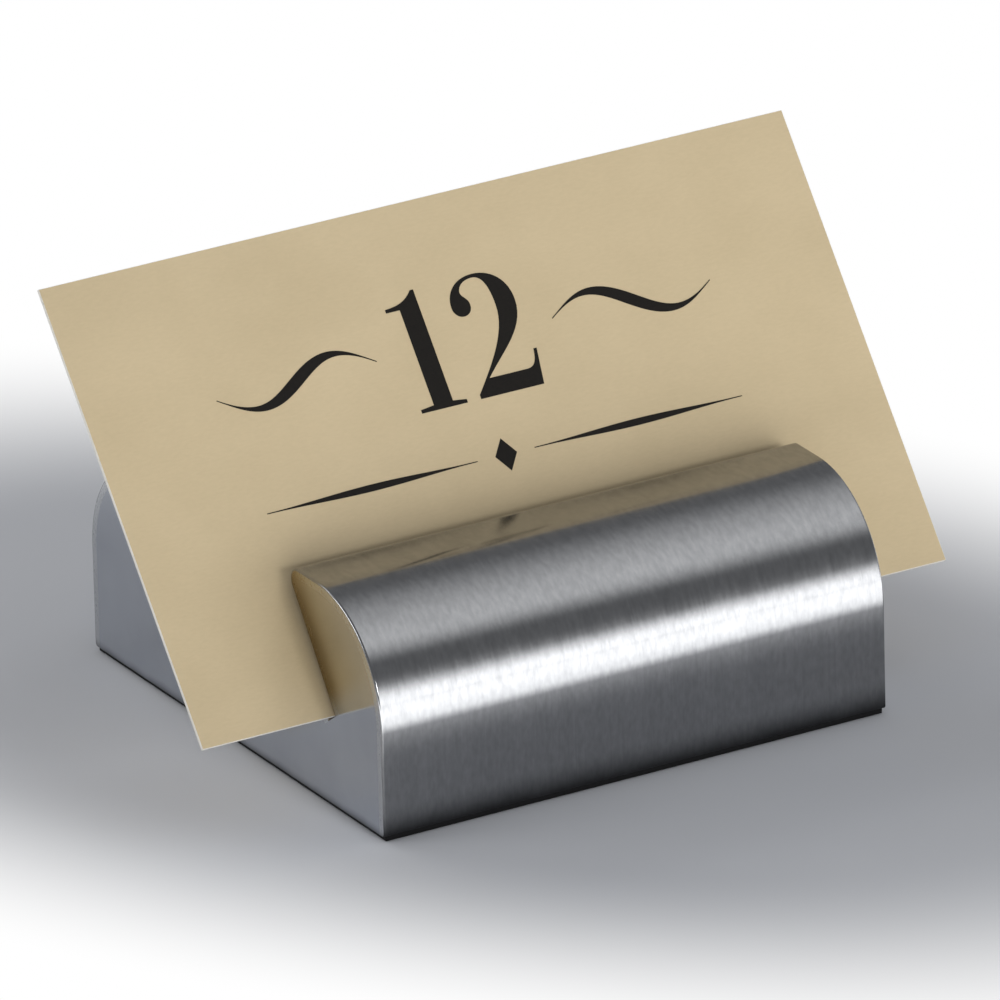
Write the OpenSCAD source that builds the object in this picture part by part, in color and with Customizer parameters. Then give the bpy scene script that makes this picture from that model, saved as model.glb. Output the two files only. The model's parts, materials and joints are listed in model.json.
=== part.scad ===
// Place card holder: a welded sheet-steel body with a leaning slot for one card.
// +X runs along the slot, +Y points to the back and +Z is up.
// The origin is the centre of the pad's underside, on the table.

/* [Body] */
// Length of the body, along the slot
body_l = 60; // [48:0.5:80]
// Depth of the body, front to back
body_d = 60; // [54:0.5:80]
// Height of the body above the pad
body_h = 23.9; // [21:0.1:28]
// Outside radius of the front and rear top edges
dome_r = 12.5; // [8:0.1:14]

/* [Sheet metal] */
// Thickness of the bent cover sheets
cover_t = 1; // [0.8:0.1:1.5]
// Inside radius of the tight bends at the slot's lips
bend_r = 0.4; // [0.3:0.1:0.8]
// Thickness of the end plates
end_t = 1.5; // [1:0.1:3]

/* [Card slot] */
// Lean of the slot back from upright, in degrees
slot_tilt = 35; // [25:0.5:38]
// Width of the slot between its two walls
slot_w = 1.6; // [1.4:0.05:2.5]
// Distance from the front face to the slot's front lip
slot_lip = 19.3; // [17:0.1:24]
// Height of the slot's floor above the pad, at its front wall
slot_floor = 10; // [9:0.1:12]

/* [Card] */
// Width of the card
card_w = 88.9; // [70:0.1:100]
// Height of the card along its own face
card_h = 50.8; // [40:0.1:60]
// Thickness of the card
card_t = 0.4; // [0.25:0.05:0.6]
// Sideways place of the card's centre
card_x = -1; // [-8:0.5:8]

/* [Base] */
// Thickness of the non-slip pad
pad_t = 0.6; // [0.4:0.1:1.5]
// Distance that the pad stays in from the body's outline
pad_inset = 0.3; // [0.2:0.1:4]
// Thickness of the base plate
base_t = 2; // [1.8:0.1:2.5]
// Width of the tapped bars that hold the base
bar_w = 8; // [7.5:0.1:10]
// Height of the tapped bars
bar_h = 4; // [3.6:0.1:4.5]

/* [Screws] */
// Thread diameter of the base screws
screw_d = 3; // [2.5:0.1:3.2]
// Length of the base screws, head included
screw_l = 5.5; // [4.5:0.1:5.5]
// Head diameter of the base screws
head_d = 5.5; // [5:0.1:5.8]
// Height of the straight rim below the head's cone
head_rim = 0.2; // [0.1:0.05:0.3]
// Width of the hex socket across its flats
socket_w = 2; // [1.5:0.1:2.5]
// Depth of the hex socket
socket_depth = 1.1; // [0.8:0.1:1.2]
// Distance from the body's ends to the screws
screw_in = 11; // [8:0.5:20]

/* [Hidden] */
$fn = 96;

// Gap at the welded seams between the end plates and the covers
seam_gap = 0.05;
// Gap around the base plate and at the ends of the tapped bars
fit_gap = 0.15;
// Radial gap of a screw in its tapped hole
thread_gap = 0.05;
// Radial gap of a screw in the base plate
screw_gap = 0.15;
// Gap between the tapped bars and the lower ends of the slot's walls
flange_gap = 0.5;
// Gap between the card and the slot where they rest on each other
card_gap = 0.1;
// How far a cut runs past the face that it opens
over = 0.5;

half_l = body_l / 2;
half_d = body_d / 2;
top_z = pad_t + body_h;
base_top = pad_t + base_t;
inner_l = body_l - 2 * end_t;
dome_z = top_z - dome_r;

// A length that reaches past the body from any point of its section
reach = body_d + body_h;

// Front lip's corner on the top face, where the slot's own axes start
slot_y = slot_lip - half_d;

// Places along the slot, from the lip's corner: the slot's floor, and the lower end of its walls
floor_u = (slot_floor - body_h) / cos(slot_tilt);
wall_end_z = base_top + bar_h + flange_gap;
wall_end_u = (wall_end_z - top_z + (slot_w + cover_t) * sin(slot_tilt)) / cos(slot_tilt);

// Centres of the bends at the two lips, front then rear, in the body's section
lip_r = bend_r + cover_t;
front_lip_y = slot_y - lip_r * (1 + sin(slot_tilt)) / cos(slot_tilt);
rear_lip_y = slot_y + (slot_w + lip_r - lip_r * sin(slot_tilt)) / cos(slot_tilt);

// The card stands on the slot's floor and leans back on the rear lip
rear_lip_v = slot_w + lip_r;
rear_lip_u = (rear_lip_v * sin(slot_tilt) - lip_r) / cos(slot_tilt);
lean_v = rear_lip_v - card_gap;
lean_u = rear_lip_u - floor_u - card_gap;
card_lean = acos((lip_r + card_gap + card_t) / norm([lean_v, lean_u])) - atan2(lean_u, lean_v);
card_tilt = slot_tilt + card_lean;
echo(card_tilt = card_tilt, slot_depth = -floor_u);

// Screw places
screw_x = half_l - screw_in;
screw_y = half_d - cover_t - bar_w / 2;
head_cone = (head_d - screw_d) / 2;

FRONT = -1;
REAR = 1;
LEFT = -1;
RIGHT = 1;

// Extrudes a section drawn in Y and Z along X, centred
module along_x(length) {
    rotate([90, 0, 90])
        linear_extrude(height = length, center = true)
            children();
}

// Moves a section drawn in the slot's own axes, across and along, to its place
module in_slot() {
    translate([slot_y, top_z])
        rotate(-slot_tilt)
            children();
}

// The body's outline, set in by a distance and run down below its bottom edge
module outline(set_in, down = 0) {
    difference() {
        translate([set_in - half_d, pad_t - down])
            square([body_d - 2 * set_in, body_h - set_in + down]);
        for (side = [FRONT, REAR])
            translate([side * (half_d - dome_r), dome_z])
                mirror([side == FRONT ? 1 : 0, 0])
                    difference() {
                        square(reach);
                        circle(r = dome_r - set_in);
                    }
    }
}

// All that lies on one side of the slot, set back from its wall
module beside_slot(side, set_in) {
    edge = side == FRONT ? -set_in - reach : slot_w + set_in;
    in_slot()
        translate([edge, -reach])
            square([reach, 2 * reach]);
}

// All that lies below the lower ends of the slot's walls
module below_walls(gap = 0) {
    in_slot()
        translate([-reach, wall_end_u - gap - reach])
            square([2 * reach, reach]);
}

// What a rounded lip leaves out of the corner between the top and the slot's wall
module lip_waste(side, radius) {
    wall_angle = side == FRONT ? -slot_tilt : 180 - slot_tilt;
    middle_angle = (90 + wall_angle) / 2;
    translate([side == FRONT ? front_lip_y : rear_lip_y, top_z - lip_r])
        difference() {
            polygon([
                [0, 0],
                [0, reach],
                reach * [cos(middle_angle), sin(middle_angle)],
                reach * [cos(wall_angle), sin(wall_angle)]
            ]);
            circle(r = radius);
        }
}

// Section of the body on one side of the slot, set in from its skin
module lobe(side, set_in, down = 0) {
    difference() {
        intersection() {
            outline(set_in, down);
            beside_slot(side, set_in);
        }
        lip_waste(side, lip_r - set_in);
    }
}

// Section of one cover: outer wall, rounded top, lip and slot wall, open below
module cover_section(side) {
    inside = half_d - cover_t;
    difference() {
        lobe(side, 0);
        lobe(side, cover_t, over);
        intersection() {
            below_walls();
            translate([-inside, -reach])
                square([2 * inside, 2 * reach]);
        }
    }
}

// Section of an end plate: it fills the body inside the covers and around the slot's walls
module end_section() {
    set_in = cover_t + seam_gap;
    lobe(FRONT, set_in);
    lobe(REAR, set_in);
    intersection() {
        outline(set_in);
        below_walls(seam_gap);
    }
}

module end_plate(side) {
    translate([side * (half_l - end_t / 2), 0, 0])
        along_x(end_t)
            end_section();
}

// Runs its children at the four screw places
module at_screws(sides = [FRONT, REAR]) {
    for (side = sides)
        for (end = [LEFT, RIGHT])
            translate([end * screw_x, side * screw_y, pad_t])
                children();
}

// A countersunk screw's outside, head down, grown by a gap and sunk past the face below it
module screw_form(gap, sink) {
    translate([0, 0, -sink])
        cylinder(d = head_d + 2 * gap, h = head_rim + sink);
    translate([0, 0, head_rim])
        cylinder(d1 = head_d + 2 * gap, d2 = screw_d + 2 * gap, h = head_cone);
    cylinder(d = screw_d + 2 * gap, h = screw_l);
}

// A steel bar inside one outer wall, tapped for the base screws
module tapped_bar(side) {
    bar_l = inner_l - 2 * fit_gap;
    near_y = side == FRONT ? cover_t - half_d : half_d - cover_t - bar_w;
    difference() {
        translate([-bar_l / 2, near_y, base_top])
            cube([bar_l, bar_w, bar_h]);
        at_screws([side])
            translate([0, 0, base_t - over])
                cylinder(d = screw_d + 2 * thread_gap, h = bar_h + 2 * over);
    }
}

module front_cover() {
    color([0.62, 0.63, 0.65])
        along_x(body_l)
            cover_section(FRONT);
}

module rear_cover() {
    color([0.62, 0.63, 0.65])
        along_x(body_l)
            cover_section(REAR);
}

module left_end_plate() {
    color([0.52, 0.54, 0.58])
        end_plate(LEFT);
}

module right_end_plate() {
    color([0.52, 0.54, 0.58])
        end_plate(RIGHT);
}

// The strip between the two slot walls, which sets the slot's width and is its floor
module slot_spacer() {
    color([0.55, 0.56, 0.58])
        along_x(body_l)
            in_slot()
                translate([0, wall_end_u])
                    square([slot_w, floor_u - wall_end_u]);
}

module front_tapped_bar() {
    color([0.45, 0.46, 0.47])
        tapped_bar(FRONT);
}

module rear_tapped_bar() {
    color([0.45, 0.46, 0.47])
        tapped_bar(REAR);
}

module base_plate() {
    plate_l = inner_l - 2 * fit_gap;
    plate_d = body_d - 2 * (cover_t + fit_gap);
    color([0.5, 0.51, 0.52])
        difference() {
            translate([-plate_l / 2, -plate_d / 2, pad_t])
                cube([plate_l, plate_d, base_t]);
            at_screws()
                screw_form(screw_gap, over);
        }
}

module base_screws() {
    color([0.35, 0.36, 0.37])
        at_screws()
            difference() {
                screw_form(0, 0);
                translate([0, 0, -over])
                    cylinder(d = socket_w / cos(30), h = socket_depth + over, $fn = 6);
            }
}

module base_pad() {
    color([0.06, 0.06, 0.07])
        translate([pad_inset - half_l, pad_inset - half_d, 0])
            cube([body_l - 2 * pad_inset, body_d - 2 * pad_inset, pad_t]);
}

module card() {
    color([0.76, 0.7, 0.56])
        translate([card_x, slot_y, top_z])
            rotate([-slot_tilt, 0, 0])
                translate([0, card_gap, floor_u + card_gap + card_t * sin(card_lean)])
                    rotate([-card_lean, 0, 0])
                        translate([-card_w / 2, 0, 0])
                            cube([card_w, card_t, card_h]);
}

front_cover();
rear_cover();
left_end_plate();
right_end_plate();
slot_spacer();
front_tapped_bar();
rear_tapped_bar();
base_plate();
base_screws();
base_pad();
card();
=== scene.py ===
"""Looks of a place card holder: a brushed steel body with polished ends, and one printed card.

Metres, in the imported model's frame: +X along the slot, +Y to the back, +Z up, origin on the table.
"""

import json
import math

import bmesh
import bpy
from mathutils import Matrix, Vector


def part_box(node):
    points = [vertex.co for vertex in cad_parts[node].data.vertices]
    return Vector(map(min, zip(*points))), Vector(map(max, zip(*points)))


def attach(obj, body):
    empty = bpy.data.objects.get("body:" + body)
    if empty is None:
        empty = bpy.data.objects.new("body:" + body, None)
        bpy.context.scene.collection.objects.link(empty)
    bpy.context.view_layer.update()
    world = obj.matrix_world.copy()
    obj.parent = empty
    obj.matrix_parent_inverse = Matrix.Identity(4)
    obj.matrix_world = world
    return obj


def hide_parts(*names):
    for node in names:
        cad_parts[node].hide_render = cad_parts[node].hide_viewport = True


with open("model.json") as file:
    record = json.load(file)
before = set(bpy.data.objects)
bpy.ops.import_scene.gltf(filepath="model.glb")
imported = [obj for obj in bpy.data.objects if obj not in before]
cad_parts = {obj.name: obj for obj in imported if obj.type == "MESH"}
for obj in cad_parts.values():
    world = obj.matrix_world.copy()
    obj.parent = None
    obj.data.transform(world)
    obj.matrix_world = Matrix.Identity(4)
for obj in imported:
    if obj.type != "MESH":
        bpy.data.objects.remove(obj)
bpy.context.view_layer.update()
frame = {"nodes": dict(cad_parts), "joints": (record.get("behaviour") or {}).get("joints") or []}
cad = frame["nodes"]
MM = 0.001

# Sizes of the sheet metal and the slot, as the CAD model has them
COVER_T = 1.0 * MM
DOME_R = 12.5 * MM
BEND_R = 0.4 * MM
SLOT_TILT = math.radians(35)
SLOT_W = 1.6 * MM
CARD_T = 0.4 * MM

# Rounding of edges, and how finely arcs are cut
END_EDGE_R = 0.22 * MM
FOOT_EDGE_R = 0.3 * MM
CARD_EDGE_R = 0.05 * MM
PAD_EDGE_R = 0.12 * MM
EDGE_STEPS = 6
DOME_STEPS = 48
LIP_STEPS = 14
FOOT_STEPS = 6
CURVE_STEPS = 14
STROKE_STEPS = 56

# Points closer than this are one point, and faces that meet at less than this angle look smooth
SAME_PLACE = 0.0002 * MM
SHARP_ANGLE = math.radians(40)

# Share of the sheet's thickness within which the middle of a face counts as the slot's wall
WALL_SHARE = 0.55

# Places of the materials in a cover's list and in the card's
SKIN = 0
CUT_EDGE = 1
SLOT_WALL = 2
CARD_FACE = 0
CARD_CORE = 1

# Finishes: a grain is given by its lengths along X, Y and Z, and a pair of colours or of roughness
# values by its low and its high end

# Values between which most of a noise lies
NOISE_LOW = 0.3
NOISE_HIGH = 0.7

# Brushed steel: its grains, the share of each in the tone, and its finish
BRUSH_FINE = (0.07 * MM, 11 * MM, 11 * MM)
BRUSH_BROAD = (1.4 * MM, 26 * MM, 26 * MM)
BRUSH_STREAK = (0.55 * MM, 1.2 * MM, 1.2 * MM)
FINE_SHARE = 0.25
BROAD_SHARE = 0.2
STREAK_SHARE = 0.5
BRUSH_COLOURS = ((0.250, 0.254, 0.262), (0.352, 0.356, 0.364))
BRUSH_ROUGH = (0.150, 0.185)
BRUSH_DRIFT = 0.02
BRUSH_ANISOTROPY = 0.8
BRUSH_DEPTH = 0.0011 * MM

# Polished end plates and ground cut edges
SMEAR = (9 * MM, 6 * MM, 7 * MM)
SCUFF = (0.5 * MM, 0.12 * MM, 0.5 * MM)
SCUFF_ROUGH = 0.03
SCUFF_DEPTH = 0.0006 * MM
POLISHED_COLOURS = ((0.498, 0.518, 0.56), (0.548, 0.568, 0.61))
POLISHED_ROUGH = (0.07, 0.12)
GROUND_COLOURS = ((0.515, 0.525, 0.545), (0.57, 0.58, 0.60))
GROUND_ROUGH = (0.24, 0.29)

# Mill-finished steel and zinc plating inside
MILL_CLOUD = (4 * MM, 4 * MM, 4 * MM)
MILL_COLOURS = ((0.30, 0.30, 0.31), (0.40, 0.40, 0.41))
MILL_ROUGH = (0.38, 0.52)
ZINC_CLOUD = (1.5 * MM, 1.5 * MM, 1.5 * MM)
ZINC_COLOURS = ((0.42, 0.43, 0.45), (0.55, 0.56, 0.57))
ZINC_ROUGH = (0.28, 0.42)
SPECK = (0.2 * MM, 0.2 * MM, 0.2 * MM)
SPECK_DEPTH = 0.004 * MM

# Rubber pad
PEBBLE = (0.25 * MM, 0.25 * MM, 0.25 * MM)
PEBBLE_DEPTH = 0.03 * MM
RUBBER_COLOURS = ((0.004, 0.004, 0.0045), (0.010, 0.010, 0.0105))
RUBBER_ROUGH = (0.65, 0.85)
RUBBER_SPECULAR = 0.2

# Card: its printed faces, its paler core at the cut edges, and the ink
MOTTLE = (12 * MM, 9 * MM, 9 * MM)
MOTTLE_SHARE = 0.6
PAPER_FIBRE = (0.75 * MM, 0.25 * MM, 0.25 * MM)
CORE_FIBRE = (0.24 * MM, 0.08 * MM, 0.08 * MM)
FIBRE_SHARE = 0.4
FIBRE_DEPTH = 0.006 * MM
PAPER_COLOURS = ((0.565, 0.455, 0.28), (0.635, 0.515, 0.325))
CORE_COLOURS = ((0.72, 0.69, 0.63), (0.80, 0.77, 0.71))
CARD_ROUGH = (0.62, 0.78)
CARD_SPECULAR = 0.35
INK_GRAIN = (0.3 * MM, 0.15 * MM, 0.15 * MM)
INK_COLOURS = ((0.005, 0.004, 0.003), (0.010, 0.008, 0.006))
INK_ROUGH = (0.50, 0.62)
INK_SPECULAR = 0.2
INK_DEPTH = 0.003 * MM

# Painted shade: steel darker towards its foot, standing for the dark floor it reflects there: heights
# above the foot between which that fades out, and how uneven the fading is
COVER_FOOT_SHADE = (-0.8 * MM, 3.6 * MM)
PLATE_FOOT_SHADE = (-0.65 * MM, 1.2 * MM)
FOOT_SHADE_JITTER = 0.3 * MM
FOOT_SHADE_GRAIN = (5 * MM, 5 * MM, 5 * MM)

# Painted reflection beside the slot, standing for the card's shaded mirror image, straw far out and
# brown close by: the colour of each at the slot, and how far it reaches from the slot's middle
OUTER_PAINTED_REFLECTION = (1.0, 0.88, 0.62)
OUTER_REFLECTION_REACH = 14 * MM
INNER_PAINTED_REFLECTION = (0.58, 0.48, 0.33)
INNER_REFLECTION_REACH = 5.5 * MM
NO_TINT = (1.0, 1.0, 1.0)

# How far above the slot's floor the painted reflection has its full strength
REFLECTION_RISE = 3.0 * MM

# The photograph's camera: where it stands, how it is rolled, and how far off the origin it aims
VIEW_AZIMUTH = math.radians(29.971)
VIEW_ELEVATION = math.radians(22.785)
VIEW_ROLL = math.radians(-1.482)
VIEW_DISTANCE = 2033.4 * MM
AIM_RIGHT = 1.147 * MM
AIM_UP = 18.859 * MM
SENSOR_W = 36.0
LENS = 705.07

# Places worked out from the frame
cover_low, cover_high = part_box("front_cover")
rear_low, rear_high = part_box("rear_cover")
spacer_low, spacer_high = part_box("slot_spacer")
plate_low, plate_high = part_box("left_end_plate")
card_low, card_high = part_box("card")
HALF_L = cover_high.x
HALF_D = rear_high.y
BOTTOM_Z = cover_low.z
TOP_Z = cover_high.z
END_T = plate_high.x - plate_low.x
SLOT_SIN = math.sin(SLOT_TILT)
SLOT_COS = math.cos(SLOT_TILT)
WALL_END = (spacer_low.z - TOP_Z + SLOT_W * SLOT_SIN) / SLOT_COS
SLOT_FLOOR = (spacer_high.z - TOP_Z) / SLOT_COS
SLOT_Y = spacer_low.y - WALL_END * SLOT_SIN
SLOT_ACROSS = Vector((0, SLOT_COS, -SLOT_SIN))
SLOT_ALONG = Vector((0, SLOT_SIN, SLOT_COS))
SLOT_CORNER = Vector((0, SLOT_Y, TOP_Z))
LIP_R = BEND_R + COVER_T
FRONT_LIP_Y = SLOT_Y - LIP_R * (1 + SLOT_SIN) / SLOT_COS
REAR_LIP_Y = SLOT_Y + (SLOT_W + LIP_R - LIP_R * SLOT_SIN) / SLOT_COS

# The card's own axes: up along its face, out of its front, and the middle of its front bottom edge
CARD_UP = Vector(frame["joints"][0]["axis"])
CARD_OUT = Vector((0, -CARD_UP.z, CARD_UP.y))
CARD_W = card_high.x - card_low.x
CARD_H = (card_high.z - card_low.z - CARD_T * CARD_UP.y) / CARD_UP.z
CARD_FOOT = Vector(((card_low.x + card_high.x) / 2, card_low.y, card_low.z + CARD_T * CARD_UP.y))

# Sides and ends of the body
FRONT = -1
REAR = 1
LEFT = -1
RIGHT = 1

# Floor: its half width, its drop below the pad, and its paper
FLOOR_HALF = 3.0
FLOOR_DROP = 0.05 * MM
FLOOR_CLOUD = (40 * MM, 40 * MM, 40 * MM)
FLOOR_COLOURS = ((0.64, 0.655, 0.69), (0.66, 0.675, 0.71))
FLOOR_ROUGH = 0.9

# Oval of soft shade on the floor: its half length and half width, how far it is turned, and the
# shares of its size between which the floor turns white
SHADE_LONG = 88 * MM
SHADE_WIDE = 52 * MM
SHADE_TURN = math.radians(-60)
SHADE_FROM = 0.8
SHADE_TO = 1.55

# Directions
UPWARD = (0, 0, 1)
REARWARD = (0, 1, 0)

# The even light all around, and soft light panels: their places, what they face, which way is up
# for them, their width and height, and their brightness
LIT_MIDDLE = (0, 0, 0.02)
WORLD_COLOUR = (0.250, 0.254, 0.262)
LAMPS = {
    "front_strip": {
        "place": (0.14, -0.36, 0.085),
        "aim": (0.14, 0, 0.085),
        "up": UPWARD,
        "size": (0.28, 0.13),
        "radiance": 3.3,
        "fade": (0.02, 0.85),
    },
    "front_glow": {
        "place": (0.02, -0.1893, 0.011),
        "aim": (0.02, -0.1247, 1.009),
        "up": REARWARD,
        "size": (0.56, 0.288),
        "radiance": 2.45,
        "fade": (0.02, 0.062),
    },
    "front_key": {
        "place": (0.066, -0.95, 0.33),
        "aim": LIT_MIDDLE,
        "up": UPWARD,
        "size": (0.14, 0.21),
        "radiance": 27.0,
        "fade": (0.2, 0.2),
    },
    "top_soft": {
        "place": (0.44, -0.195, 0.80),
        "aim": (0.44, -0.195, 0),
        "up": REARWARD,
        "size": (0.34, 1.51),
        "radiance": 1.20,
        "fade": (0.35, 0.65),
    },
    "back_soft": {
        "place": (-0.32, 0.66, 0.44),
        "aim": LIT_MIDDLE,
        "up": UPWARD,
        "size": (0.5, 0.4),
        "radiance": 3.5,
        "fade": (0.2, 0.2),
    },
    "left_soft": {
        "place": (-0.92, 0.42, 0.26),
        "aim": LIT_MIDDLE,
        "up": UPWARD,
        "size": (0.5, 0.3),
        "radiance": 7.5,
        "fade": (0.2, 0.2),
    },
    "right_strip": {
        "place": (0.55, 0.12, 0.085),
        "aim": (0, 0.12, 0.085),
        "up": UPWARD,
        "size": (0.7, 0.13),
        "radiance": 1.5,
        "fade": (0.02, 0.85),
    },
}

# Print on the card: plain table number, two swashes and a swelled rule
INK_LIFT = 0.004 * MM
INK_T = 0.016 * MM
NUMBER_H = 13.0 * MM
NUMBER_FOOT = 28.5 * MM
NUMBER_GAP = 1.6 * MM
SWASH_FROM = 10.5 * MM
SWASH_L = 19.0 * MM
SWASH_RISE = 1.9 * MM
SWASH_UP = 35.0 * MM
SWASH_THIN = 0.10 * MM
SWASH_THICK = 1.30 * MM
RULE_FROM = 3.4 * MM
RULE_L = 25.0 * MM
RULE_UP = 22.2 * MM
RULE_THIN = 0.10 * MM
RULE_THICK = 0.75 * MM
DIAMOND_W = 2.6 * MM
DIAMOND_H = 3.6 * MM

# Outlines of the two figures, as shares of their height; three points together are a curve's two
# handles and its end
ONE_SHARES = [
    (0.0, 0.0), (0.42, 0.0), (0.42, 0.03), (0.30, 0.045), (0.30, 1.0), (0.27, 1.0),
    ((0.20, 0.92), (0.12, 0.895), (0.0, 0.89)),
    (0.0, 0.86), (0.125, 0.86), (0.125, 0.045), (0.0, 0.03),
]
TWO_SHARES = [
    (0.0, 0.0), (0.58, 0.0), (0.625, 0.30), (0.595, 0.30),
    ((0.58, 0.19), (0.55, 0.15), (0.48, 0.15)),
    (0.135, 0.15),
    ((0.33, 0.34), (0.59, 0.48), (0.59, 0.73)),
    ((0.59, 0.90), (0.47, 1.01), (0.30, 1.01)),
    ((0.14, 1.01), (0.025, 0.91), (0.025, 0.775)),
    ((0.025, 0.725), (0.06, 0.685), (0.11, 0.685)),
    ((0.16, 0.685), (0.195, 0.72), (0.195, 0.77)),
    ((0.195, 0.83), (0.14, 0.84), (0.14, 0.885)),
    ((0.15, 0.95), (0.22, 0.98), (0.285, 0.98)),
    ((0.37, 0.98), (0.41, 0.90), (0.41, 0.72)),
    ((0.41, 0.50), (0.22, 0.28), (0.0, 0.035)),
]
ONE_WIDTH_SHARE = 0.42
TWO_WIDTH_SHARE = 0.625


# Mesh helpers

def add_solid(bm, rings, folded=False, material=0, end_material=None):
    """Adds a closed solid: quads between neighbouring rings of points, and a cap on each end.

    A folded ring runs along one side of a strip and back along the other, so its caps are quads.
    """
    loops = [[bm.verts.new(point) for point in ring] for ring in rings]
    count = len(loops[0])
    for ring, following in zip(loops, loops[1:]):
        for i in range(count):
            j = (i + 1) % count
            face = bm.faces.new((ring[i], ring[j], following[j], following[i]))
            face.material_index = material
            face.smooth = True
    for ring in (loops[0], loops[-1]):
        corners = [ring]
        if folded:
            corners = [
                (ring[i], ring[i + 1], ring[count - 2 - i], ring[count - 1 - i])
                for i in range(count // 2 - 1)
            ]
        for around in corners:
            face = bm.faces.new(around)
            face.material_index = material if end_material is None else end_material
            face.smooth = True
    return loops


def make_piece(name, bm, materials):
    """Turns a bmesh into an object with even normals: faces meet softly below the sharp angle."""
    bmesh.ops.remove_doubles(bm, verts=bm.verts, dist=SAME_PLACE)
    bmesh.ops.recalc_face_normals(bm, faces=bm.faces)
    mesh = bpy.data.meshes.new(name)
    bm.to_mesh(mesh)
    bm.free()
    mesh.set_sharp_from_angle(angle=SHARP_ANGLE)
    for material in materials:
        mesh.materials.append(material)
    piece = bpy.data.objects.new(name, mesh)
    bpy.context.scene.collection.objects.link(piece)
    weighted = piece.modifiers.new("even_normals", "WEIGHTED_NORMAL")
    weighted.keep_sharp = True
    return piece


def arc(centre, radius, start, end, steps):
    """Points (y, z) on a circle in the body's section, from one angle to another."""
    points = []
    for i in range(steps + 1):
        angle = start + (end - start) * i / steps
        points.append((centre[0] + radius * math.cos(angle), centre[1] + radius * math.sin(angle)))
    return points


def edge_profile(radius):
    """(inset, depth) pairs over a rounded edge, from the end face to the side."""
    pairs = []
    for i in range(EDGE_STEPS + 1):
        angle = math.pi / 2 * i / EDGE_STEPS
        pairs.append((radius * (1 - math.sin(angle)), radius * (1 - math.cos(angle))))
    return pairs


# The holder's sheet metal

def in_slot(across, along):
    """A place (y, z) in the slot's own axes: across from its front wall, and up along it."""
    return (
        SLOT_Y + across * SLOT_COS + along * SLOT_SIN,
        TOP_Z - across * SLOT_SIN + along * SLOT_COS,
    )


def skin(side, set_in, edge=0.0):
    """Section of one cover's skin, from the foot of its outer wall over the top and down the slot.

    The skin lies set_in under the outside. Where it shows, it goes in by a further edge rounding.
    """
    inset = set_in + edge
    dome = (side * (HALF_D - DOME_R), TOP_Z - DOME_R)
    lip = (FRONT_LIP_Y if side == FRONT else REAR_LIP_Y, TOP_Z - LIP_R)
    wall_angle = -SLOT_TILT if side == FRONT else math.pi - SLOT_TILT
    outer_angle = math.pi if side == FRONT else 0
    wall = -inset if side == FRONT else SLOT_W + inset
    hidden_wall = -set_in if side == FRONT else SLOT_W + set_in
    foot_r = max(FOOT_EDGE_R - set_in, 0.0)
    foot = (side * (HALF_D - inset - foot_r), BOTTOM_Z + foot_r)
    down = -math.pi / 2
    return (
        arc(foot, foot_r, down, down - side * down, FOOT_STEPS)
        + arc(dome, DOME_R - inset, outer_angle, math.pi / 2, DOME_STEPS)
        + arc(lip, LIP_R - inset, math.pi / 2, wall_angle, LIP_STEPS)
        + [in_slot(wall, SLOT_FLOOR), in_slot(hidden_wall, SLOT_FLOOR), in_slot(hidden_wall, WALL_END)]
    )


def at_x(x, section):
    """A section's points at one place along the body."""
    return [(x, y, z) for y, z in section]


def cover_ring(side, x, edge):
    """Both faces of a cover's sheet at one place along it, as a folded ring."""
    return at_x(x, skin(side, 0.0, edge) + skin(side, COVER_T)[::-1])


def grain_uv(bm, loops):
    """A UV map whose U runs along X and V around the bend, for the brushed grain's direction."""
    layer = bm.loops.layers.uv.new("grain")
    runs = {}
    for ring in loops:
        run = 0.0
        for before, vert in zip(ring[:1] + ring, ring):
            run += (vert.co - before.co).length
            runs[vert] = run
    for face in bm.faces:
        for corner in face.loops:
            corner[layer].uv = (corner.vert.co.x, runs[corner.vert])


def is_slot_wall(face):
    """Whether a face on the end of a cover belongs to the sheet along the slot's wall."""
    across = (face.calc_center_median() - SLOT_CORNER).dot(SLOT_ACROSS)
    return abs(across - SLOT_W / 2) < SLOT_W / 2 + WALL_SHARE * COVER_T


def make_cover(side, name, node, materials):
    """A bent sheet with rounded ends; its materials are the skin, the cut edge and the slot wall."""
    edge = edge_profile(END_EDGE_R)
    rings = [cover_ring(side, -HALF_L + depth, inset) for inset, depth in edge]
    rings += [cover_ring(side, HALF_L - depth, inset) for inset, depth in reversed(edge)]
    bm = bmesh.new()
    grain_uv(bm, add_solid(bm, rings, folded=True, material=SKIN, end_material=CUT_EDGE))
    for face in bm.faces:
        if face.material_index == CUT_EDGE and is_slot_wall(face):
            face.material_index = SLOT_WALL
    piece = make_piece(name, bm, materials)
    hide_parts(node)
    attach(piece, "holder")


def make_end_plate(end, name, node, material):
    """A flat plate that fills the body's end inside the covers, with a notch for the slot's walls."""
    section = skin(REAR, COVER_T) + skin(FRONT, COVER_T)[::-1]
    rings = [at_x(end * HALF_L, section), at_x(end * (HALF_L - END_T), section)]
    bm = bmesh.new()
    add_solid(bm, rings)
    piece = make_piece(name, bm, [material])
    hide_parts(node)
    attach(piece, "holder")


# The card and its print

def on_card(x, up, out):
    """A place on the card: sideways from its middle, up its face, and out of its front."""
    return CARD_FOOT + Vector((x, 0, 0)) + CARD_UP * up + CARD_OUT * out


def make_card(paper, core):
    """The card without its print, with its edges just rounded."""
    levels = [(inset, -depth) for inset, depth in edge_profile(CARD_EDGE_R)]
    levels += [(inset, depth - CARD_T) for inset, depth in reversed(edge_profile(CARD_EDGE_R))]
    rings = []
    for inset, out in levels:
        side = CARD_W / 2 - inset
        corners = [(-side, inset), (side, inset), (side, CARD_H - inset), (-side, CARD_H - inset)]
        rings.append([on_card(x, up, out) for x, up in corners])
    bm = bmesh.new()
    add_solid(bm, rings, material=CARD_CORE, end_material=CARD_FACE)
    piece = make_piece("card_blank", bm, [paper, core])
    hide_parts("card")
    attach(piece, "place_card")


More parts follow.
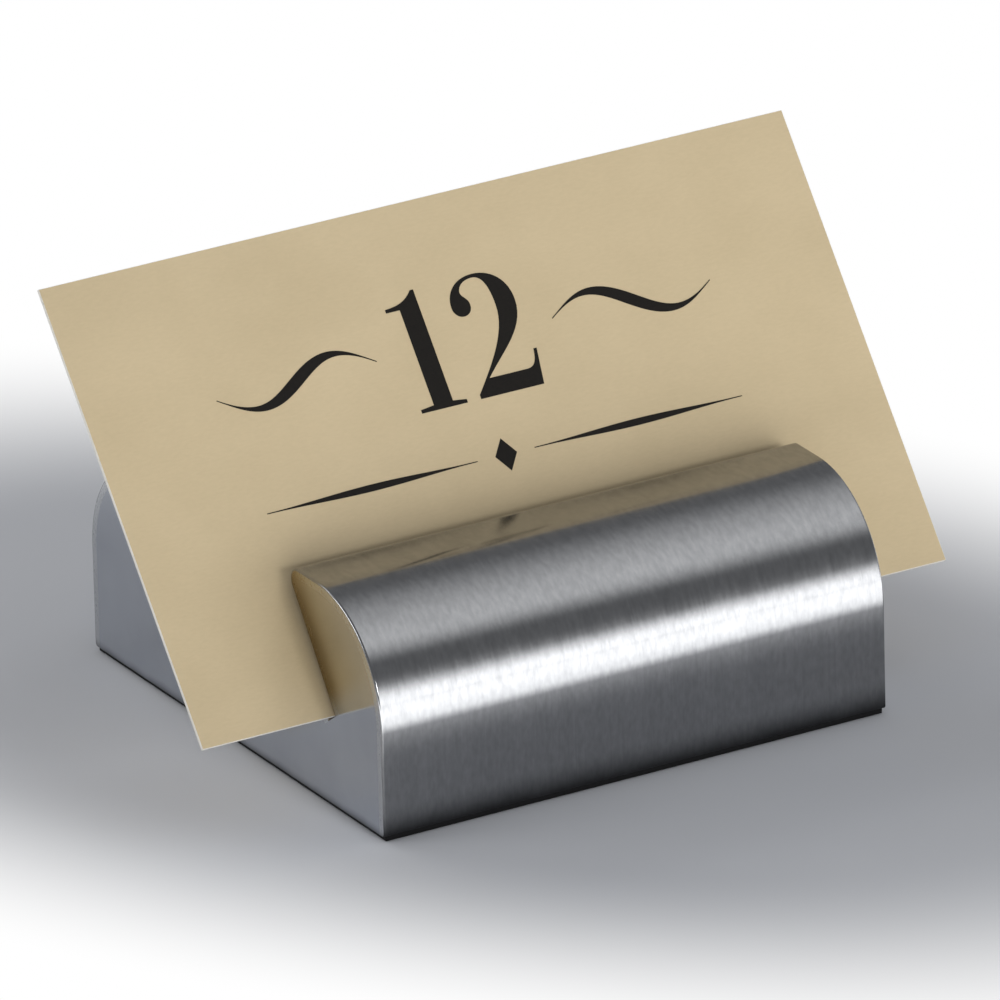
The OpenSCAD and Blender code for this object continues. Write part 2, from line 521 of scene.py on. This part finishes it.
def bezier(start, first, second, end):
    """Points of a cubic curve after its start."""
    points = []
    for i in range(1, CURVE_STEPS + 1):
        t = i / CURVE_STEPS
        s = 1 - t
        weights = (s * s * s, 3 * s * s * t, 3 * s * t * t, t * t * t)
        shares = (start, first, second, end)
        points.append(tuple(sum(w * p[k] for w, p in zip(weights, shares)) for k in (0, 1)))
    return points


def trace(shares):
    """An outline of straight lines and curves as points."""
    points = [shares[0]]
    for step in shares[1:]:
        if len(step) == 3:
            points += bezier(points[-1], *step)
        else:
            points.append(step)
    return points


def stroke(path, widths):
    """A folded outline around a path, as wide as the widths say."""
    left = []
    right = []
    for i, (x, up) in enumerate(path):
        before = path[max(i - 1, 0)]
        after = path[min(i + 1, len(path) - 1)]
        along = Vector((after[0] - before[0], after[1] - before[1])).normalized()
        half = widths[i] / 2
        left.append((x - along.y * half, up + along.x * half))
        right.append((x + along.y * half, up - along.x * half))
    return left + right[::-1]


def swelled(thin, thick, count):
    """Widths that grow from thin ends to a thick middle."""
    return [thin + (thick - thin) * math.sin(math.pi * i / (count - 1)) ** 2 for i in range(count)]


def print_shapes():
    """Outlines of the print in the card's own axes, each with whether it is folded."""
    shapes = []
    number_w = NUMBER_H * (ONE_WIDTH_SHARE + TWO_WIDTH_SHARE) + NUMBER_GAP
    starts = (-number_w / 2, number_w / 2 - NUMBER_H * TWO_WIDTH_SHARE)
    for start, shares in zip(starts, (ONE_SHARES, TWO_SHARES)):
        outline = [(start + NUMBER_H * x, NUMBER_FOOT + NUMBER_H * up) for x, up in trace(shares)]
        shapes.append((outline, False))
    count = STROKE_STEPS + 1
    for side in (LEFT, RIGHT):
        swash = []
        rule = []
        for i in range(count):
            t = i / (count - 1)
            rise = SWASH_RISE * math.sin(2 * math.pi * t)
            swash.append((side * (SWASH_FROM + SWASH_L * t), SWASH_UP + rise))
            rule.append((side * (RULE_FROM + RULE_L * t), RULE_UP))
        shapes.append((stroke(swash, swelled(SWASH_THIN, SWASH_THICK, count)), True))
        shapes.append((stroke(rule, swelled(RULE_THIN, RULE_THICK, count)), True))
    half_w = DIAMOND_W / 2
    half_h = DIAMOND_H / 2
    diamond = [(0, RULE_UP - half_h), (half_w, RULE_UP), (0, RULE_UP + half_h), (-half_w, RULE_UP)]
    shapes.append((diamond, False))
    return shapes


def make_print(ink):
    """The print, as flat solids that stand just proud of the card's face."""
    bm = bmesh.new()
    for outline, folded in print_shapes():
        rings = [[on_card(x, up, out) for x, up in outline] for out in (INK_LIFT, INK_LIFT + INK_T)]
        add_solid(bm, rings, folded=folded)
    piece = make_piece("card_print", bm, [ink])
    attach(piece, "place_card")


# Materials

def new_material(name, metallic=0.0):
    """A new material, with its node tree and its shader."""
    material = bpy.data.materials.new(name)
    material.use_nodes = True
    tree = material.node_tree
    shader = tree.nodes["Principled BSDF"]
    shader.inputs["Metallic"].default_value = metallic
    return material, tree, shader


def noise(tree, grain, detail=2.0, offset=0.0):
    """Noise whose grains have the given lengths along X, Y and Z, in metres."""
    place = tree.nodes.new("ShaderNodeTexCoord")
    mapping = tree.nodes.new("ShaderNodeMapping")
    mapping.inputs["Scale"].default_value = [1 / size for size in grain]
    mapping.inputs["Location"].default_value = (offset, offset, offset)
    texture = tree.nodes.new("ShaderNodeTexNoise")
    texture.inputs["Scale"].default_value = 1.0
    texture.inputs["Detail"].default_value = detail
    tree.links.new(place.outputs["Object"], mapping.inputs["Vector"])
    tree.links.new(mapping.outputs["Vector"], texture.inputs["Vector"])
    return texture.outputs[0]


def ramp(tree, value, start, end, low=0.0, high=1.0, kind="SMOOTHSTEP"):
    """Maps a value onto a range: low up to the start, high from the end on, and between the two."""
    node = tree.nodes.new("ShaderNodeMapRange")
    node.interpolation_type = kind
    node.inputs["From Min"].default_value = start
    node.inputs["From Max"].default_value = end
    node.inputs["To Min"].default_value = low
    node.inputs["To Max"].default_value = high
    tree.links.new(value, node.inputs["Value"])
    return node.outputs["Result"]


def spread(tree, value, low, high):
    """Maps a noise value onto a range."""
    return ramp(tree, value, NOISE_LOW, NOISE_HIGH, low, high, kind="LINEAR")


def combine(tree, operation, *values):
    """Output of a maths node; each value is a number or another node's output."""
    node = tree.nodes.new("ShaderNodeMath")
    node.operation = operation
    for socket, value in zip(node.inputs, values):
        if isinstance(value, float):
            socket.default_value = value
        else:
            tree.links.new(value, socket)
    return node.outputs[0]


def add(tree, first, second):
    """Sum of two nodes' outputs."""
    return combine(tree, "ADD", first, second)


def along_axis(tree, axis):
    """How far a place lies along an axis through the origin."""
    place = tree.nodes.new("ShaderNodeTexCoord")
    node = tree.nodes.new("ShaderNodeVectorMath")
    node.operation = "DOT_PRODUCT"
    node.inputs[1].default_value = axis
    tree.links.new(place.outputs["Object"], node.inputs[0])
    return node.outputs["Value"]


def mix(tree, share, first, second):
    """Colour between two colours, by a share from 0 to 1."""
    node = tree.nodes.new("ShaderNodeMix")
    node.data_type = "RGBA"
    node.inputs["A"].default_value = (*first, 1.0)
    node.inputs["B"].default_value = (*second, 1.0)
    tree.links.new(share, node.inputs["Factor"])
    return node.outputs["Result"]


def scale_colour(tree, colour, share):
    """Colour times a share from 0 to 1."""
    node = tree.nodes.new("ShaderNodeVectorMath")
    node.operation = "SCALE"
    tree.links.new(colour, node.inputs[0])
    tree.links.new(share, node.inputs["Scale"])
    return node.outputs["Vector"]


def tint_colour(tree, colour, tint):
    """Colour times another colour."""
    node = tree.nodes.new("ShaderNodeVectorMath")
    node.operation = "MULTIPLY"
    tree.links.new(colour, node.inputs[0])
    tree.links.new(tint, node.inputs[1])
    return node.outputs["Vector"]


def painted_foot_shade(tree, heights):
    """1 over most of the body, and less towards its foot: painted shade for the dark floor that the
    steel reflects there.
    """
    fade_jitter = spread(tree, noise(tree, FOOT_SHADE_GRAIN, offset=2.0), 0.0, FOOT_SHADE_JITTER)
    height = add(tree, along_axis(tree, UPWARD), fade_jitter)
    return ramp(tree, height, BOTTOM_Z + heights[0], BOTTOM_Z + heights[1])


def painted_reflection_share(tree, reach):
    """1 beside the slot, where the card's shaded mirror image is painted, and 0 out of its reach and
    below the floor.
    """
    middle = SLOT_CORNER.dot(SLOT_ACROSS) + SLOT_W / 2
    away = combine(tree, "ABSOLUTE", combine(tree, "SUBTRACT", along_axis(tree, SLOT_ACROSS), middle))
    near = ramp(tree, away, SLOT_W / 2, reach, 1.0, 0.0)
    floor = SLOT_CORNER.dot(SLOT_ALONG) + SLOT_FLOOR
    above = ramp(tree, along_axis(tree, SLOT_ALONG), floor, floor + REFLECTION_RISE)
    return combine(tree, "MULTIPLY", near, above)


def surface(tree, shader, colour, rough, height, depth):
    """Gives a shader its colour, its roughness, and a bump of the given depth."""
    bump = tree.nodes.new("ShaderNodeBump")
    bump.inputs["Distance"].default_value = depth
    tree.links.new(height, bump.inputs["Height"])
    tree.links.new(bump.outputs["Normal"], shader.inputs["Normal"])
    tree.links.new(colour, shader.inputs["Base Color"])
    tree.links.new(rough, shader.inputs["Roughness"])


def brushed_steel():
    """Sheet steel brushed around the bend: long fine scratches, short streaks and broad soft bands."""
    material, tree, shader = new_material("brushed_steel", metallic=1.0)
    fine = noise(tree, BRUSH_FINE, detail=3.0)
    broad = noise(tree, BRUSH_BROAD, offset=7.0)
    streak = noise(tree, BRUSH_STREAK, offset=5.0)
    tone = add(tree, spread(tree, fine, 0.0, FINE_SHARE), spread(tree, broad, 0.0, BROAD_SHARE))
    tone = add(tree, tone, spread(tree, streak, 0.0, STREAK_SHARE))
    colour = mix(tree, tone, *BRUSH_COLOURS)
    # Painted shade: the steel's colour darker towards the foot
    colour = scale_colour(tree, colour, painted_foot_shade(tree, COVER_FOOT_SHADE))
    rough = add(tree, spread(tree, fine, *BRUSH_ROUGH), spread(tree, broad, 0.0, BRUSH_DRIFT))
    surface(tree, shader, colour, rough, fine, BRUSH_DEPTH)
    tangent = tree.nodes.new("ShaderNodeTangent")
    tangent.direction_type = "UV_MAP"
    tangent.uv_map = "grain"
    shader.inputs["Anisotropic"].default_value = BRUSH_ANISOTROPY
    tree.links.new(tangent.outputs["Tangent"], shader.inputs["Tangent"])
    return material


def polished_steel(name, colours, roughness):
    """Ground or polished steel, with faint random scuffs and smears, a painted reflection of the
    card's shade beside the slot and painted shade towards the foot.
    """
    material, tree, shader = new_material(name, metallic=1.0)
    smear = noise(tree, SMEAR, detail=3.0)
    scuff = noise(tree, SCUFF, detail=4.0, offset=3.0)
    colour = mix(tree, spread(tree, smear, 0.0, 1.0), *colours)
    # Painted shade: the steel's colour darker towards the foot
    colour = scale_colour(tree, colour, painted_foot_shade(tree, PLATE_FOOT_SHADE))
    # Painted reflection: the card's shaded mirror image beside the slot, straw far out and brown close
    # by
    for tint, reach in ((OUTER_PAINTED_REFLECTION, OUTER_REFLECTION_REACH), (INNER_PAINTED_REFLECTION, INNER_REFLECTION_REACH)):
        colour = tint_colour(tree, colour, mix(tree, painted_reflection_share(tree, reach), NO_TINT, tint))
    rough = add(tree, spread(tree, smear, *roughness), spread(tree, scuff, 0.0, SCUFF_ROUGH))
    surface(tree, shader, colour, rough, scuff, SCUFF_DEPTH)
    return material


def plain_steel(name, colours, cloud_grain, roughness):
    """Mill-finished or plated steel for the pieces inside."""
    material, tree, shader = new_material(name, metallic=1.0)
    cloud = noise(tree, cloud_grain, detail=4.0)
    speck = noise(tree, SPECK, offset=5.0)
    colour = mix(tree, spread(tree, cloud, 0.0, 1.0), *colours)
    surface(tree, shader, colour, spread(tree, cloud, *roughness), speck, SPECK_DEPTH)
    return material


def black_rubber():
    """Matt non-slip sheet with a fine pebbled grain."""
    material, tree, shader = new_material("black_rubber")
    pebble = noise(tree, PEBBLE, detail=3.0)
    colour = mix(tree, spread(tree, pebble, 0.0, 1.0), *RUBBER_COLOURS)
    surface(tree, shader, colour, spread(tree, pebble, *RUBBER_ROUGH), pebble, PEBBLE_DEPTH)
    shader.inputs["Specular IOR Level"].default_value = RUBBER_SPECULAR
    return material


def card_paper(name, colours, fibre):
    """Uncoated card: soft mottling, short fibres and a fine tooth."""
    material, tree, shader = new_material(name)
    mottle = noise(tree, MOTTLE, detail=3.0)
    tooth = noise(tree, fibre, detail=4.0, offset=11.0)
    tone = add(tree, spread(tree, mottle, 0.0, MOTTLE_SHARE), spread(tree, tooth, 0.0, FIBRE_SHARE))
    colour = mix(tree, tone, *colours)
    surface(tree, shader, colour, spread(tree, tooth, *CARD_ROUGH), tooth, FIBRE_DEPTH)
    shader.inputs["Specular IOR Level"].default_value = CARD_SPECULAR
    return material


def print_ink():
    """Dense black ink with a slight sheen and faint unevenness."""
    material, tree, shader = new_material("print_ink")
    tooth = noise(tree, INK_GRAIN, detail=3.0)
    colour = mix(tree, spread(tree, tooth, 0.0, 1.0), *INK_COLOURS)
    surface(tree, shader, colour, spread(tree, tooth, *INK_ROUGH), tooth, INK_DEPTH)
    shader.inputs["Specular IOR Level"].default_value = INK_SPECULAR
    return material


def shade_share(tree):
    """Share of the way from the middle of the floor's oval of shade to its rim."""
    place = tree.nodes.new("ShaderNodeTexCoord")
    oval = tree.nodes.new("ShaderNodeMapping")
    oval.vector_type = "TEXTURE"
    oval.inputs["Rotation"].default_value = (0, 0, SHADE_TURN)
    oval.inputs["Scale"].default_value = (SHADE_LONG, SHADE_WIDE, 1)
    length = tree.nodes.new("ShaderNodeVectorMath")
    length.operation = "LENGTH"
    tree.links.new(place.outputs["Object"], oval.inputs["Vector"])
    tree.links.new(oval.outputs["Vector"], length.inputs[0])
    return length.outputs["Value"]


def floor_paper():
    """Pale paper that fades to plain white away from the object, for the eye and for reflections."""
    material, tree, shader = new_material("floor_paper")
    cloud = noise(tree, FLOOR_CLOUD, detail=3.0)
    colour = mix(tree, spread(tree, cloud, 0.0, 1.0), *FLOOR_COLOURS)
    tree.links.new(colour, shader.inputs["Base Color"])
    shader.inputs["Roughness"].default_value = FLOOR_ROUGH
    shader.inputs["Specular IOR Level"].default_value = 0.0
    path = tree.nodes.new("ShaderNodeLightPath")
    seen = add(tree, path.outputs["Is Camera Ray"], path.outputs["Is Glossy Ray"])
    seen = add(tree, seen, path.outputs["Is Transmission Ray"])
    share = combine(tree, "MULTIPLY", seen, ramp(tree, shade_share(tree), SHADE_FROM, SHADE_TO))
    share.node.use_clamp = True
    white = tree.nodes.new("ShaderNodeEmission")
    white.inputs["Strength"].default_value = 1.0
    blend = tree.nodes.new("ShaderNodeMixShader")
    tree.links.new(share, blend.inputs["Fac"])
    tree.links.new(shader.outputs["BSDF"], blend.inputs[1])
    tree.links.new(white.outputs["Emission"], blend.inputs[2])
    tree.links.new(blend.outputs["Shader"], tree.nodes["Material Output"].inputs["Surface"])
    return material


# Carried-over CAD nodes

def dress(node, material, edge_r=0.0):
    """Gives a CAD node its material and, where edges show, a small rounding."""
    piece = cad[node]
    piece.data.materials.clear()
    piece.data.materials.append(material)
    if edge_r:
        joined = piece.modifiers.new("joined", "WELD")
        joined.merge_threshold = SAME_PLACE
        rounding = piece.modifiers.new("edge", "BEVEL")
        rounding.width = edge_r
        rounding.segments = EDGE_STEPS
        rounding.limit_method = "ANGLE"


# Stage: floor, light and camera

def make_floor():
    """A wide flat sheet of pale paper under the pad."""
    bm = bmesh.new()
    corners = [(-1, -1), (1, -1), (1, 1), (-1, 1)]
    bm.faces.new([bm.verts.new((x * FLOOR_HALF, y * FLOOR_HALF, -FLOOR_DROP)) for x, y in corners])
    mesh = bpy.data.meshes.new("floor")
    bm.to_mesh(mesh)
    bm.free()
    mesh.materials.append(floor_paper())
    floor = bpy.data.objects.new("floor", mesh)
    bpy.context.scene.collection.objects.link(floor)


def softbox(name, place, aim, up, size, radiance, fade):
    """A soft light panel; radiance 1 is as bright as a white sheet in full light.

    The fade is the share of its height over which it dims to its lower and to its upper edge.
    """
    width, height = size
    light = bpy.data.lights.new(name, "AREA")
    light.shape = "RECTANGLE"
    light.size = width
    light.size_y = height
    light.energy = radiance * math.pi * width * height
    light.use_nodes = True
    tree = light.node_tree
    spot = tree.nodes.new("ShaderNodeNewGeometry")
    parts = tree.nodes.new("ShaderNodeSeparateXYZ")
    tree.links.new(spot.outputs["Parametric"], parts.inputs["Vector"])
    lower = ramp(tree, parts.outputs["Y"], 0.0, fade[0])
    upper = ramp(tree, parts.outputs["Y"], 1.0 - fade[1], 1.0, 1.0, 0.0)
    strength = combine(tree, "MULTIPLY", lower, upper)
    tree.links.new(strength, tree.nodes["Emission"].inputs["Strength"])
    lamp = bpy.data.objects.new(name, light)
    back = (Vector(place) - Vector(aim)).normalized()
    across = Vector(up).cross(back).normalized()
    axes = Matrix((across, back.cross(across), back)).transposed()
    lamp.matrix_world = Matrix.Translation(place) @ axes.to_4x4()
    lamp.visible_camera = False
    bpy.context.scene.collection.objects.link(lamp)


def make_world(colour):
    """Even light from all around."""
    world = bpy.data.worlds.new("studio")
    world.use_nodes = True
    background = world.node_tree.nodes["Background"]
    background.inputs["Color"].default_value = (*colour, 1.0)
    background.inputs["Strength"].default_value = 1.0
    bpy.context.scene.world = world


def make_camera():
    """The photograph's camera, from its angles, its distance and where it aims."""
    back = Vector((
        -math.sin(VIEW_AZIMUTH) * math.cos(VIEW_ELEVATION),
        -math.cos(VIEW_AZIMUTH) * math.cos(VIEW_ELEVATION),
        math.sin(VIEW_ELEVATION),
    ))
    level = Vector((math.cos(VIEW_AZIMUTH), -math.sin(VIEW_AZIMUTH), 0))
    upright = back.cross(level)
    right = level * math.cos(VIEW_ROLL) + upright * math.sin(VIEW_ROLL)
    up = upright * math.cos(VIEW_ROLL) - level * math.sin(VIEW_ROLL)
    place = right * AIM_RIGHT + up * AIM_UP + back * VIEW_DISTANCE
    data = bpy.data.cameras.new("camera")
    data.sensor_width = SENSOR_W
    data.lens = LENS
    camera = bpy.data.objects.new("camera", data)
    axes = Matrix((right, up, back)).transposed()
    camera.matrix_world = Matrix.Translation(place) @ axes.to_4x4()
    bpy.context.scene.collection.objects.link(camera)
    bpy.context.scene.camera = camera


# Build

brushed = brushed_steel()
polished = polished_steel("polished_steel", POLISHED_COLOURS, POLISHED_ROUGH)
ground_edge = polished_steel("ground_edge", GROUND_COLOURS, GROUND_ROUGH)
mill_steel = plain_steel("plain_steel", MILL_COLOURS, MILL_CLOUD, MILL_ROUGH)
zinc = plain_steel("zinc_steel", ZINC_COLOURS, ZINC_CLOUD, ZINC_ROUGH)
rubber = black_rubber()
paper = card_paper("card_paper", PAPER_COLOURS, PAPER_FIBRE)
core = card_paper("card_core", CORE_COLOURS, CORE_FIBRE)
ink = print_ink()

make_cover(FRONT, "front_cover_sheet", "front_cover", [brushed, ground_edge, polished])
make_cover(REAR, "rear_cover_sheet", "rear_cover", [brushed, ground_edge, polished])
make_end_plate(LEFT, "left_end_face", "left_end_plate", polished)
make_end_plate(RIGHT, "right_end_face", "right_end_plate", polished)
make_card(paper, core)
make_print(ink)
dress("slot_spacer", polished)
dress("front_tapped_bar", mill_steel)
dress("rear_tapped_bar", mill_steel)
dress("base_plate", mill_steel)
dress("base_screws", zinc)
dress("base_pad", rubber, PAD_EDGE_R)

make_floor()
make_world(WORLD_COLOUR)
for name, lamp in LAMPS.items():
    softbox(name, **lamp)
make_camera()
bpy.context.scene.view_settings.view_transform = "Standard"
